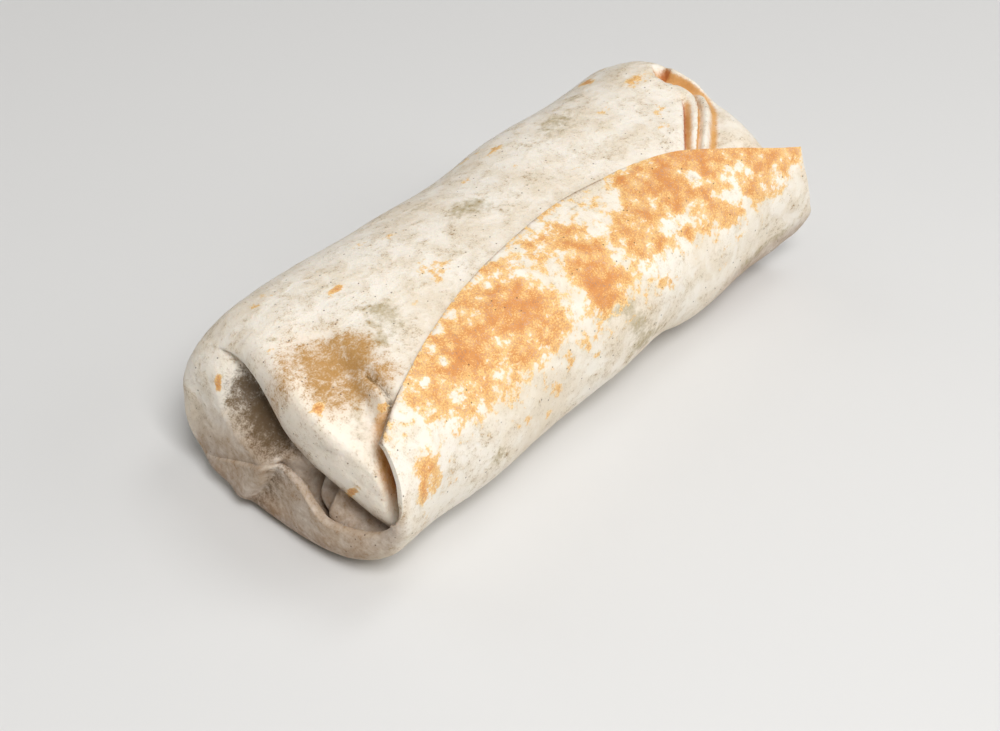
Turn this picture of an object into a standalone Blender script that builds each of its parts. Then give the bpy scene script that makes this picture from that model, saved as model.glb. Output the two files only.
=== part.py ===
# A whole rolled burrito in one flour tortilla, lying on its side.
# It is one closed solid: a filled roll with folded ends, and the outer turn of
# the tortilla that wraps the front and the underside and ends in a flap on top.
# Units are metres, +Z is up, +X runs along the roll from the tucked end to the
# open-cornered end, and -Y is the side that the flap comes down on.

import bmesh
import bpy
import numpy as np

MM = 0.001

# Driving dimensions.
HALF_WIDTH = 38.3 * MM
HALF_HEIGHT = 25.3 * MM
SQUARENESS = 2.5
SHEET_THICKNESS = 1.5 * MM
BURIED_THICKNESS = 3.0 * MM
LIP_THICKNESS = 2.6 * MM
REST_FLATTENING = 0.9 * MM
NEAR_FACE_X = -86.0 * MM
FAR_FACE_X = 80.0 * MM

# Mesh fineness: cells across, up, round each end's edge and along the roll,
# and the triangles that are kept where the surface bends most.
CELLS_WIDE = 80
CELLS_HIGH = 54
CELLS_NEAR_EDGE = 30
CELLS_FAR_EDGE = 14
CELLS_LONG = 76
WRAP_CELLS_ROUND = 90
WRAP_CELLS_LONG = 90
KEPT_TRIANGLES = 11000
# Share of the way between the ends' edges that each share of the rows reaches.
MIDDLE_ROWS = ([0, 0.37, 1], [0, 0.72, 1])

# Angles round the roll are in degrees: 0 faces -Y, 90 is the top, 180 faces +Y
# and -90 is the underside. Each pair of lists gives a value at these angles.
NEAR_FACE = ([-180, -120, -90, -30, 0, 40, 90, 135, 180], [-86, -87, -86, -83, -81.5, -82, -84.5, -84, -86])
NEAR_EDGE_LONG = ([-180, -150, -30, 0, 30, 60, 90, 135, 180], [8, 6, 6, 8, 14, 22, 26, 19, 8])
NEAR_EDGE_DEEP = ([-180, -150, -30, 0, 30, 60, 90, 135, 180], [8, 6, 6, 8, 13, 17, 18, 14, 8])
FAR_FACE = (
    [-180, -135, -90, -45, 0, 45, 75, 95, 115, 135, 180],
    [79, 77.6, 77, 77.2, 78, 79, 81.4, 83.4, 84, 82.6, 79],
)
FAR_EDGE_LONG = ([-180, -90, 0, 60, 85, 120, 180], [9, 8, 8, 11, 8, 6, 9])
FAR_EDGE_DEEP = ([-180, -90, 0, 60, 85, 120, 180], [8, 7, 8, 8, 5, 5, 8])

# Free edge of the flap: its angle round the roll at these x positions, in mm.
FLAP_EDGE = (
    [-82, -72, -61, -51, -33, -15, 7, 26, 46, 62, 77, 84],
    [41, 52, 60.5, 67, 74.5, 78, 80.5, 78.5, 71, 55.5, 39.5, 33],
)
WRAP_END_ANGLE = -158.0

# The near edge of the outer turn curls in round the tucked end as a lip: how far
# out the lip stands, how far it rises up the end, and the radius that it bends
# round, by angle round the roll.
LIP_X = (
    [-158, -149, -136, -126, -88, -60, -45, -20, -2, 8, 20, 30, 41],
    [-78, -83, -86.5, -88, -89, -89.2, -88.6, -86.7, -85.3, -84.3, -83, -82.3, -82],
)
LIP_RISE = (
    [-158, -149, -136, -126, -109, -88, -66, -58, -54, -40, -20, -2, 8, 41],
    [2.0, 3.0, 5.0, 11.0, 16.5, 21.0, 19.3, 16.0, 12.8, 10.3, 6.0, 1.5, 0.0, 0.0],
)
LIP_RADIUS = ([-158, -136, -109, -66, -40, -20, 0, 41], [3.5, 5.0, 8.0, 8.0, 6.5, 5.0, 3.5, 2.0])
WRAP_FAR_EDGE = (
    [-158, -90, -60, -30, -16, -8, 0, 8, 20, 33],
    [72, 78, 80, 83.2, 85.8, 87.4, 85.2, 83.6, 82.8, 84.2],
)

# Frame of the folds on the tucked end. The end is seen square on from OUTWARD,
# and a point there has a place along ACROSS and UPWARD from FOLD_CENTRE.
FOLD_CENTRE = np.array([-80.0, -2.0, 28.0]) * MM
OUTWARD = np.array([-0.4958, -0.5573, 0.6661])
ACROSS = np.array([0.7471, -0.6647, 0.0])
UPWARD = np.cross(OUTWARD, ACROSS)
INWARD = np.array([0.99, 0.0, -0.12])

# Fold lines on the tucked end, in mm in that frame. The tables below the crease
# give the hollow's depth and width and the fold's height by share of its length.
CREASE = [
    (-21.5, 25.2), (-18, 23.6), (-13.6, 20.4), (-10, 15.7), (-7.2, 9.8), (-4.2, 2.2),
    (0.6, -4.9), (5.5, -10.6), (10.1, -15.2), (15.2, -20.2), (20.5, -24.6),
]
CREASE_DEPTH = ([0, 0.06, 0.13, 0.2, 0.3, 0.42, 0.55, 0.7, 1], [0, 0.4, 4, 11, 15.5, 13, 9.5, 7, 4.5])
CREASE_REACH = ([0, 0.12, 0.2, 0.3, 0.42, 0.55, 1], [6, 8, 10, 12, 11, 9, 8])
CREASE_EDGE = ([0, 0.08, 0.18, 0.3, 1], [0, 0.2, 1.6, 2.3, 1.6])
HEM = [(14.5, 14.5), (17, 11.6), (19.2, 9.3), (20.8, 6.2), (21, 3.1), (20.2, 0.6), (18.6, -1.6)]
UNDER_RIDGE = [(-8.8, 6), (-7.1, 3.4), (-3.6, -2.6), (1.5, -7.9), (5.9, -12.7)]
PANEL = [(-25, 6), (-19, 1.5), (-5, -7), (2, -10.5), (9, -16)]
INNER_LAYER = [(3.5, -9.0), (4.6, -12.5), (4.4, -16.3), (4.5, -20.0), (7, -23.0)]
SECOND_LAYER = [(-0.5, -8.5), (0.7, -11.0), (1.5, -15.9), (3.5, -20.7), (5.5, -23.5)]

# Pleat down the lip's face, as (y, z) in mm: the lip is tucked back beyond it.
LIP_PLEAT = [(-1, 24), (1.5, 20), (4, 14), (8, 8), (12, 3), (14, -1)]

# Fold lines on top of the far end, seen from above, as (x, y) in mm. The top layer
# ends at the first one: beyond it the end is recessed at first, and further on a
# rolled band lies beside it. The second one is a slit in the top layer.
LAYER_END = [
    (80.5, 16.5), (77.8, 12.6), (75.6, 9.2), (75.4, 5.4), (76.6, 1.8), (76.2, -2.6),
    (72.8, -6.9), (68.2, -10.4), (63.2, -13.9), (56.4, -18.4), (47, -25),
]
RECESS = ([0, 0.5, 1, 3, 4.3, 5.4, 7, 10], [-0.8, -2.6, -3.2, -3, -0.4, 0.9, 0.8, 0])
BAND = (
    [0, 0.5, 1, 1.8, 2.6, 3.3, 4.4, 5.8, 7.6, 12],
    [-0.9, -3.4, -2.6, -0.7, -0.5, -1.5, -2.6, -2.2, -1.3, 0],
)
SLIT = [(72.6, -0.4), (71.2, -2.9), (67.4, -6.3), (62.6, -9.9), (57, -14.2), (51, -19)]
SLIT_PROFILE = ([-2, -0.9, -0.25, 0.25, 0.9, 2, 3.2, 4], [0, -0.3, -0.9, -3, -2.3, -1, -0.3, 0])
SLIT_DEPTH = ([0, 0.12, 0.3, 1], [0, 0.7, 1, 0.95])
FAR_HUMP_HEIGHT = 2.2

# Rounded swellings and dents there: centre, half length and half width in mm,
# turn in degrees and height in mm.
SWELLINGS = [
    (-25.5, -1.5, 5.0, 3.0, -40, -1.5),
    (-25.0, 9.0, 4.0, 8.0, 0, -1.8),
    (6.5, -1.0, 24.0, 6.0, -56, 5.0),
    (13.5, 10.5, 12.0, 4.0, -58, -3.5),
    (20.0, 12.0, 6.0, 2.6, -62, 1.6),
    (18.5, -3.0, 8.0, 3.0, -75, -2.0),
    (22.0, -13.0, 11.0, 3.0, -88, -8.0),
]


def between(table, at):
    """Value at each place, on a smooth curve through the table that makes no new peaks."""
    keys, values = (np.asarray(row, float) for row in table)
    at = np.clip(np.asarray(at, float), keys[0], keys[-1])
    step = np.diff(keys)
    slope = np.diff(values) / step
    tangent = np.concatenate([slope[:1], np.zeros(len(keys) - 2), slope[-1:]])
    same = slope[:-1] * slope[1:] > 0
    pair_sum = np.where(same, slope[:-1] + slope[1:], 1.0)
    tangent[1:-1] = np.where(same, 2 * slope[:-1] * slope[1:] / pair_sum, 0.0)
    low = np.clip(np.searchsorted(keys, at, side="right") - 1, 0, len(step) - 1)
    t = (at - keys[low]) / step[low]
    start = (2 * t**3 - 3 * t**2 + 1) * values[low] + (t**3 - 2 * t**2 + t) * step[low] * tangent[low]
    end = (3 * t**2 - 2 * t**3) * values[low + 1] + (t**3 - t**2) * step[low] * tangent[low + 1]
    return start + end


def ease(value, low, high):
    t = np.clip((value - low) / (high - low), 0, 1)
    return t * t * (3 - 2 * t)


def hump(value, width):
    return np.exp(-((value / width) ** 2))


def signed_power(value, power):
    return np.sign(value) * np.abs(value) ** power


def oval(angle, inset=0.0):
    """Point (y, z) of the roll's cross section, and the direction square to it."""
    cosine = np.cos(np.radians(angle))
    sine = np.sin(np.radians(angle))
    y = -signed_power(cosine, 2 / SQUARENESS) * (HALF_WIDTH - inset)
    z = signed_power(sine, 2 / SQUARENESS) * (HALF_HEIGHT - inset) + HALF_HEIGHT
    normal_y = -signed_power(cosine, 2 - 2 / SQUARENESS) / HALF_WIDTH
    normal_z = signed_power(sine, 2 - 2 / SQUARENESS) / HALF_HEIGHT
    length = np.hypot(normal_y, normal_z)
    return y, z, normal_y / length, normal_z / length


def unevenness(x, angle):
    """Slow hand-rolled lumps, and a waist low on the flap's side and high behind."""
    turn = np.radians(angle)
    mm = x / MM
    lump = 0.55 * np.sin(mm / 19.0 + 1.3) * np.sin(1.5 * turn + 0.4)
    lump += 0.45 * np.sin(mm / 11.5 + 2.1 * turn)
    lump += 0.35 * np.sin(mm / 7.3 - 2.7 * turn + 1.0) * np.cos(1.3 * turn)
    lump *= 1 - ease(np.abs(angle), 150, 180)
    lump -= 2.2 * hump(mm - 21, 11) * hump(angle + 42, 28)
    lump -= 0.9 * hump(mm + 22, 14) * hump(angle - 118, 22)
    return lump * MM


def even_angles(count):
    """Angles evenly spaced along the cross section, from the low corner on the -Y side."""
    fine = np.linspace(-180, 180, 7201)
    y, z, _, _ = oval(fine)
    length = np.concatenate([[0], np.cumsum(np.hypot(np.diff(y), np.diff(z)))])
    start = np.interp(-90, fine, length) + CELLS_WIDE / 2 * length[-1] / count
    return lambda place: np.interp((start - place * length[-1] / count) % length[-1], length, fine)


def rim_place(across, up):
    """Place along the rim of the end's grid of the point in line with a grid point."""
    reach = max(abs(across), abs(up), 1e-9)
    across, up = across / reach, up / reach
    if up <= -1:
        return (across + 1) / 2 * CELLS_WIDE
    if across >= 1:
        return CELLS_WIDE + (up + 1) / 2 * CELLS_HIGH
    if up >= 1:
        return CELLS_WIDE + CELLS_HIGH + (1 - across) / 2 * CELLS_WIDE
    return 2 * CELLS_WIDE + CELLS_HIGH + (1 - up) / 2 * CELLS_HIGH


def edge_rows(face, long, deep, count, sign):
    """Rows (x, inset) round an end's edge, from its face out to the side of the roll."""
    rows = []
    for angle in np.radians(np.linspace(90, 0, count, endpoint=False)):
        rows.append((face - sign * long * (1 - np.sin(angle)), deep * (1 - np.cos(angle))))
    return rows


def build_roll():
    """The filled roll as a box-like grid: rings along it and a grid over each end."""
    ring_size = 2 * (CELLS_WIDE + CELLS_HIGH)
    angle_at = even_angles(ring_size)
    ring = angle_at(np.arange(ring_size))
    near = [between(table, ring) * MM for table in (NEAR_FACE, NEAR_EDGE_LONG, NEAR_EDGE_DEEP)]
    far = [between(table, ring) * MM for table in (FAR_FACE, FAR_EDGE_LONG, FAR_EDGE_DEEP)]
    rows = edge_rows(*near, CELLS_NEAR_EDGE, -1)
    start, stop = near[0] + near[1], far[0] - far[1]
    for share in between(MIDDLE_ROWS, np.linspace(0, 1, CELLS_LONG + 1)):
        rows.append((start + (stop - start) * share, 0 * ring))
    rows += edge_rows(*far, CELLS_FAR_EDGE, 1)[::-1]

    points = []
    angles = []
    for x, inset in rows:
        y, z, _, _ = oval(ring, inset)
        points += list(zip(x, y, z))
        angles += list(ring)

    def end_grid(row, face, deep, middle):
        index = {}
        for i in range(CELLS_WIDE + 1):
            for j in range(CELLS_HIGH + 1):
                across, up = 2 * i / CELLS_WIDE - 1, 2 * j / CELLS_HIGH - 1
                place = rim_place(across, up)
                if i in (0, CELLS_WIDE) or j in (0, CELLS_HIGH):
                    index[i, j] = row * ring_size + round(place) % ring_size
                    continue
                reach = max(abs(across), abs(up))
                angle = float(angle_at(place))
                y, z, _, _ = oval(angle, float(between(deep, angle)) * MM)
                share = reach * reach * (3 - 2 * reach)
                x = float(between(face, angle)) * MM * share + middle * (1 - share)
                index[i, j] = len(points)
                points.append((x, y * reach, HALF_HEIGHT + (z - HALF_HEIGHT) * reach))
                angles.append(angle)
        return index

    near_index = end_grid(0, NEAR_FACE, NEAR_EDGE_DEEP, NEAR_FACE_X)
    far_index = end_grid(len(rows) - 1, FAR_FACE, FAR_EDGE_DEEP, FAR_FACE_X)
    faces = []
    for row in range(len(rows) - 1):
        for k in range(ring_size):
            a, b = row * ring_size + k, row * ring_size + (k + 1) % ring_size
            faces.append((a, b, b + ring_size, a + ring_size))
    for i in range(CELLS_WIDE):
        for j in range(CELLS_HIGH):
            corners = [(i, j), (i, j + 1), (i + 1, j + 1), (i + 1, j)]
            faces.append(tuple(near_index[c] for c in corners))
            faces.append(tuple(far_index[c] for c in reversed(corners)))
    return np.array(points), faces, np.array(angles)


def flap_angle(x):
    return between(FLAP_EDGE, x / MM)


def shape_roll():
    """The roll with its lumps, and a shallow rebate for the outer turn."""
    points, faces, angles = build_roll()
    near = between(NEAR_FACE, angles) * MM
    far = between(FAR_FACE, angles) * MM
    near_long = between(NEAR_EDGE_LONG, angles) * MM
    far_long = between(FAR_EDGE_LONG, angles) * MM
    x = points[:, 0]
    on_side = ease(x, near + 0.1 * near_long, near + near_long)
    on_side *= 1 - ease(x, far - far_long, far - 0.1 * far_long)
    rebate = ease(flap_angle(x) - angles, 1, 45) * (1 - ease(-angles, 115, 150))
    _, _, normal_y, normal_z = oval(angles)
    grow = (unevenness(x, angles) - SHEET_THICKNESS * rebate) * on_side
    points[:, 1] += normal_y * grow
    points[:, 2] += normal_z * grow
    points = fold_far_end(fold_near_end(points, facing(points, faces)))
    points[:, 0] += tucked_back(points)
    points[:, 2] = np.maximum(points[:, 2], REST_FLATTENING)
    return points, faces


def facing(points, faces):
    """How squarely each point of a surface faces OUTWARD."""
    quads = np.array(faces)
    square = np.cross(points[quads[:, 2]] - points[quads[:, 0]], points[quads[:, 3]] - points[quads[:, 1]])
    total = np.zeros_like(points)
    for corner in range(4):
        np.add.at(total, quads[:, corner], square)
    return total @ OUTWARD / np.linalg.norm(total, axis=1)


def smooth_line(guides, pieces=6):
    """Points on a smooth curve through the guides."""
    guide = np.asarray(guides, float)
    guide = np.vstack([2 * guide[0] - guide[1], guide, 2 * guide[-1] - guide[-2]])
    line = []
    for a, b, c, d in zip(guide, guide[1:], guide[2:], guide[3:]):
        for t in np.arange(pieces) / pieces:
            line.append(b + 0.5 * t * (c - a + t * (2 * a - 5 * b + 4 * c - d + t * (3 * b - a - 3 * c + d))))
    return np.array(line + [guide[-2]])


def beside(line, across, up):
    """Distance to the left of a line, share of the way along it, and the way left."""
    line = smooth_line(line)
    part = np.diff(line, axis=0)
    length = np.hypot(*part.T)
    before = np.concatenate([[0], np.cumsum(length)])
    nearest = np.full(across.shape, np.inf)
    side, share = np.ones(across.shape), np.zeros(across.shape)
    left = np.zeros(across.shape + (2,))
    for start, (u, v), size, done in zip(line, part / length[:, None], length, before):
        a, b = across - start[0], up - start[1]
        along = np.clip(a * u + b * v, 0, size)
        gap = np.hypot(a - u * along, b - v * along)
        closer = gap < nearest
        nearest = np.where(closer, gap, nearest)
        side = np.where(closer, np.where(u * b - v * a >= 0, 1.0, -1.0), side)
        share = np.where(closer, (done + along) / before[-1], share)
        left[closer] = (-v, u)
    return nearest * side, share, left


def draw_in(aside, width):
    """How far a point moves towards a fold line beside it, so that the mesh is finest there."""
    return -aside * 0.75 * np.clip(1 - np.abs(aside) / width, 0, 1)


def fold_near_end(points, facing_share):
    """Tucks the near end: a tongue folded down over a hollow, and a rounded panel."""
    strength = ease(facing_share, 0.02, 0.4) * ease(-points[:, 0], 30 * MM, 50 * MM)
    offset = (points - FOLD_CENTRE) / MM
    aside, _, left = beside(CREASE, offset @ ACROSS, offset @ UPWARD)
    shift = MM * (draw_in(aside, 4.0) * strength)[:, None] * left
    points = points + shift[:, :1] * ACROSS + shift[:, 1:] * UPWARD
    offset = (points - FOLD_CENTRE) / MM
    across, up = offset @ ACROSS, offset @ UPWARD
    outward = np.zeros(len(points))
    for centre_a, centre_u, long, wide, turn, height in SWELLINGS:
        cosine, sine = np.cos(np.radians(turn)), np.sin(np.radians(turn))
        a, u = across - centre_a, up - centre_u
        outward += height * hump(a * cosine + u * sine, long) * hump(u * cosine - a * sine, wide)

    # The tongue lies left of the crease, and the hollow right of it.
    aside, share, _ = beside(CREASE, across, up)
    below = np.clip(-aside, 0, None)
    depth, reach, edge = (between(table, share) for table in (CREASE_DEPTH, CREASE_REACH, CREASE_EDGE))
    inward = np.where(aside < 0, depth * ease(below, 0, 1.2) * (1 - ease(below, 1.2, reach)), 0)
    outward += 1.2 * edge * hump(aside - 5.0, 4.5)
    turned = np.clip(1 - np.clip(aside, 0, None) / 3.2, 0, 1)
    outward -= edge * (1 - np.sqrt(1 - np.minimum(turned, 0.999) ** 2)) * (aside > -1.2)

    # A small fold beside the flap's near corner ends in a scalloped edge over a groove.
    aside_hem, share, _ = beside(HEM, across, up)
    fold = 1.9 * hump(aside_hem + 1.9, 2.4) * ease(-aside_hem, 0, 0.7)
    groove = -1.8 * ease(aside_hem, 0, 0.5) * hump(aside_hem, 3.0)
    outward += ease(share, 0, 0.25) * (1 - ease(share, 0.8, 1)) * np.where(aside_hem < 0, fold, groove)
    aside_ridge, share, _ = beside(UNDER_RIDGE, across, up)
    ridge = 1.4 * hump(aside_ridge, 1.3) * ease(share, 0, 0.25) * (1 - ease(share, 0.8, 1))
    outward += ridge * ease(-aside, 0.6, 1.4)

    aside_panel, share, _ = beside(PANEL, across, up)
    roundness = between(([0, 0.2, 0.6, 0.9, 1.0], [0, 2.0, 3.6, 2.4, 0]), share)
    outward += ease(-aside, 0, 2) * roundness * hump(aside_panel, between(([0, 1], [5.5, 3]), share))

    # Two inner layers end under the tongue's tip, each with a rounded edge over a gap.
    for line, drop, rise, wide in ((SECOND_LAYER, 4.0, 0.3, 1.4), (INNER_LAYER, 2.5, 1.6, 2.2)):
        aside_layer, share, _ = beside(line, across, up)
        shown = ease(-aside, 0.3, 2.0) * ease(share, 0, 0.2)
        outward += shown * rise * hump(aside_layer - 1.5, 2.2) * (aside_layer > 0)
        beyond = np.clip(-aside_layer - 0.6, 0, None)
        inward += shown * drop * ease(-aside_layer, -0.2, 0.8) * hump(beyond, wide)

    moved = points + MM * (outward * strength)[:, None] * OUTWARD
    return moved + MM * (inward * strength)[:, None] * INWARD


def tucked_back(points):
    """How far along X the lower near end moves: in beyond the lip's pleat, out before it."""
    x, y, z = (points[..., axis] / MM for axis in range(3))
    aside, _, _ = beside(LIP_PLEAT, y, z)
    beyond = ease(-aside, -0.5, 1.0) * hump(np.clip(-aside, 0, None), 11) * ease(-x, 72, 84)
    before = hump(aside - 2.2, 2.2) * ease(-x, 80, 86)
    return MM * ((0.5 + 1.7 * ease(z, 4, 11)) * beyond - 0.9 * before) * (1 - ease(z, 20, 26))


def fold_far_end(points):
    """Ends the top layer in a rounded fold, with a recess and a rolled band beyond it."""
    on_top = ease(points[:, 2], 34 * MM, 42 * MM)
    points = points.copy()
    for line, width in ((LAYER_END, 2.2), (SLIT, 1.8)):
        aside, share, left = beside(line, points[:, 0] / MM, points[:, 1] / MM)
        points[:, :2] += MM * (draw_in(aside - 0.2, width) * on_top * ease(share, 0, 0.02))[:, None] * left
    x, y = points[:, 0] / MM, points[:, 1] / MM
    aside, share, _ = beside(LAYER_END, x, y)
    beyond = np.clip(aside, 0, None)
    banded = ease(share, 0.3, 0.4)
    shown = ease(share, 0.04, 0.13) * ease(points[:, 2], 30 * MM, 42 * MM)
    height = between(RECESS, beyond) * (1 - banded) + between(BAND, beyond) * banded
    rounded = -0.8 * (1 - np.sqrt(1 - np.clip(1 + aside / 1.5, 0, 1) ** 2))
    height = np.where(aside > 0, height, rounded)
    aside_slit, slit_share, _ = beside(SLIT, x, y)
    height += between(SLIT_DEPTH, slit_share) * between(SLIT_PROFILE, aside_slit) * (aside < 0)
    points[:, 2] += MM * (height * shown + FAR_HUMP_HEIGHT * hump(x - 79, 14) * hump(y - 14, 12) * on_top)
    return points


def shape_wrap():
    """Outer and inner surface of the outer turn, as grids from the flap's edge round to the back."""
    round_share, long_share = np.meshgrid(
        np.linspace(0, 1, WRAP_CELLS_ROUND + 1), np.linspace(0, 1, WRAP_CELLS_LONG + 1), indexing="ij"
    )
    near_angle = FLAP_EDGE[1][0] + (WRAP_END_ANGLE - FLAP_EDGE[1][0]) * round_share
    far_angle = FLAP_EDGE[1][-1] + (WRAP_END_ANGLE - FLAP_EDGE[1][-1]) * round_share
    lip_x, rise, radius = (between(table, near_angle) * MM for table in (LIP_X, LIP_RISE, LIP_RADIUS))
    turn = np.arccos(np.clip(1 - rise / radius, 0, 1))
    start = lip_x + radius * np.sin(turn)
    near_edge = start - radius * turn - np.clip(rise - radius, 0, None)
    flat_x = near_edge + (between(WRAP_FAR_EDGE, far_angle) * MM - near_edge) * long_share
    curl = np.clip((start - flat_x) / radius, 0, None)
    bent = np.minimum(curl, np.pi / 2)
    x = np.where(curl > 0, start - radius * np.sin(bent), flat_x)
    inset = radius * (1 - np.cos(bent) + curl - bent)
    edge_angle = flap_angle(flat_x)
    angle = edge_angle + (WRAP_END_ANGLE - edge_angle) * round_share

    lift = 0.15 * MM + SHEET_THICKNESS * np.clip(1 - (edge_angle - angle) / 60, 0, 1) ** 1.5
    sink = 2.4 * MM * ease(-angle, 118, 152) * ease(x, -80 * MM, -66 * MM)
    lumps = unevenness(x, angle) * ease(x, -84 * MM, -60 * MM) * (1 - ease(x, 66 * MM, 80 * MM))
    near_end = ease(-x, 66 * MM, 80 * MM)
    bulge = 1.2 * MM * hump(angle - 2, 22) + 1.5 * MM * hump(angle + 150, 14)
    y, z, normal_y, normal_z = oval(angle, inset)
    grow = lift - sink + lumps + bulge * near_end
    outer = np.stack([x, y + normal_y * grow, z + normal_z * grow], axis=-1)
    outer[..., 0] += tucked_back(outer)
    outer[..., 2] = np.maximum(outer[..., 2], REST_FLATTENING)

    square = np.cross(np.gradient(outer, axis=0), np.gradient(outer, axis=1))
    square /= np.linalg.norm(square, axis=-1, keepdims=True)
    buried = ease(x, -80 * MM, -70 * MM) * (1 - ease(x, 66 * MM, 74 * MM))
    thickness = SHEET_THICKNESS + (BURIED_THICKNESS - SHEET_THICKNESS) * buried
    rolled = ease(curl, 0, 1) * ease(rise, 0.5 * MM, 3.5 * MM)
    thickness += (LIP_THICKNESS - SHEET_THICKNESS) * rolled * (1 - buried)
    return outer, outer - square * thickness[..., None]


def close_sheet(outer, inner):
    """Points and faces of the closed body between two grids of the same size."""
    rows, columns = outer.shape[:2]
    top = np.arange(rows * columns).reshape(rows, columns)
    low = top + rows * columns
    faces = []
    for i in range(rows - 1):
        for j in range(columns - 1):
            faces.append((top[i, j], top[i + 1, j], top[i + 1, j + 1], top[i, j + 1]))
            faces.append((low[i, j], low[i, j + 1], low[i + 1, j + 1], low[i + 1, j]))
    border = [(0, j) for j in range(columns)] + [(i, columns - 1) for i in range(1, rows)]
    border += [(rows - 1, j) for j in range(columns - 2, -1, -1)] + [(i, 0) for i in range(rows - 2, 0, -1)]
    for a, b in zip(border, border[1:] + border[:1]):
        faces.append((top[a], top[b], low[b], low[a]))
    return np.vstack([outer.reshape(-1, 3), inner.reshape(-1, 3)]), faces


def mesh_object(name, points, faces, collection):
    mesh = bpy.data.meshes.new(name)
    mesh.from_pydata(points.tolist(), [], [tuple(int(i) for i in face) for face in faces])
    body = bmesh.new()
    body.from_mesh(mesh)
    bmesh.ops.triangulate(body, faces=body.faces)
    bmesh.ops.recalc_face_normals(body, faces=body.faces)
    body.to_mesh(mesh)
    body.free()
    made = bpy.data.objects.new(name, mesh)
    collection.objects.link(made)
    return made


def apply_modifiers(made):
    """Replaces an object's mesh by what its modifiers make of it."""
    bpy.context.view_layer.update()
    evaluated = made.evaluated_get(bpy.context.evaluated_depsgraph_get())
    mesh = bpy.data.meshes.new_from_object(evaluated)
    made.modifiers.clear()
    made.data = mesh
    return mesh


def keep_outer_skin(mesh):
    """Fills the small hollows shut in between the layers, by keeping the largest skin alone."""
    body = bmesh.new()
    body.from_mesh(mesh)
    waiting = set(body.verts)
    skins = []
    while waiting:
        skin = {waiting.pop()}
        front = list(skin)
        while front:
            vertex = front.pop()
            for edge in vertex.link_edges:
                other = edge.other_vert(vertex)
                if other not in skin:
                    skin.add(other)
                    front.append(other)
        waiting -= skin
        skins.append(skin)
    skins.sort(key=len)
    for skin in skins[:-1]:
        bmesh.ops.delete(body, geom=list(skin), context="VERTS")
    body.to_mesh(mesh)
    body.free()


def tortilla_material():
    material = bpy.data.materials.new("tortilla")
    material.use_nodes = True
    surface = material.node_tree.nodes["Principled BSDF"]
    surface.inputs["Base Color"].default_value = (0.80, 0.70, 0.52, 1.0)
    surface.inputs["Roughness"].default_value = 0.75
    surface.inputs["Metallic"].default_value = 0.0
    return material


def main():
    for old in list(bpy.data.objects):
        bpy.data.objects.remove(old, do_unlink=True)
    scene = bpy.context.scene
    pieces = bpy.data.collections.new("pieces")
    scene.collection.children.link(pieces)
    burrito = mesh_object("tortilla_wrap", *shape_roll(), scene.collection)
    mesh_object("outer_turn", *close_sheet(*shape_wrap()), pieces)

    union = burrito.modifiers.new("join", "BOOLEAN")
    union.operation = "UNION"
    union.solver = "MANIFOLD"
    union.operand_type = "COLLECTION"
    union.collection = pieces
    joined = apply_modifiers(burrito)
    keep_outer_skin(joined)
    for piece in list(pieces.objects):
        bpy.data.objects.remove(piece, do_unlink=True)
    bpy.data.collections.remove(pieces)

    thinning = burrito.modifiers.new("thin out", "DECIMATE")
    thinning.ratio = KEPT_TRIANGLES / len(joined.polygons)
    joined = apply_modifiers(burrito)

    places = np.array([vertex.co[:] for vertex in joined.vertices])
    low, high = places.min(axis=0), places.max(axis=0)
    shift = [-(low[0] + high[0]) / 2, -(low[1] + high[1]) / 2, -low[2]]
    print("moved to its origin by", [round(value / MM, 2) for value in shift], "mm")
    joined.vertices.foreach_set("co", (places + shift).ravel())
    joined.update()
    joined.materials.clear()
    joined.materials.append(tortilla_material())
    joined.shade_smooth()
    joined.set_sharp_from_angle(angle=np.radians(50))


if __name__ == "__main__":
    main()
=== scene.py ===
import bpy
import numpy as np
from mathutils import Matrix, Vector, noise


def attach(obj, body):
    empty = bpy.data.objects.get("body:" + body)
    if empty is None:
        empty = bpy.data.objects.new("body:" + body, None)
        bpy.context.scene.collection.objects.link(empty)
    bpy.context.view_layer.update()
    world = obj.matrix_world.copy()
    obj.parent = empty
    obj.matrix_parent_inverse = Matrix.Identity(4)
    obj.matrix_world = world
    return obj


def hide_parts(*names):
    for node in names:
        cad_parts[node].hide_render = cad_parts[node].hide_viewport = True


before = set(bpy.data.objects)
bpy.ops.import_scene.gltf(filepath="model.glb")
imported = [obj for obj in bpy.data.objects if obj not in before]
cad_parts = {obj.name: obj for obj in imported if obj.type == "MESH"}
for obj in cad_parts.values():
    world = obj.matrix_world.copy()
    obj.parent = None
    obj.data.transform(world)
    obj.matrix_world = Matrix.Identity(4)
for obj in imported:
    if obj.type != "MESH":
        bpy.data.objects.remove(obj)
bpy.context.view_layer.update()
print("frame loaded")

# All sizes are in millimetres and all turns in degrees. Round the roll, 0 degrees faces -Y, 90 is the top,
# 180 faces +Y and -90 is underneath. +X runs from the tucked end to the open-cornered end.
mm = 0.001

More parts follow.
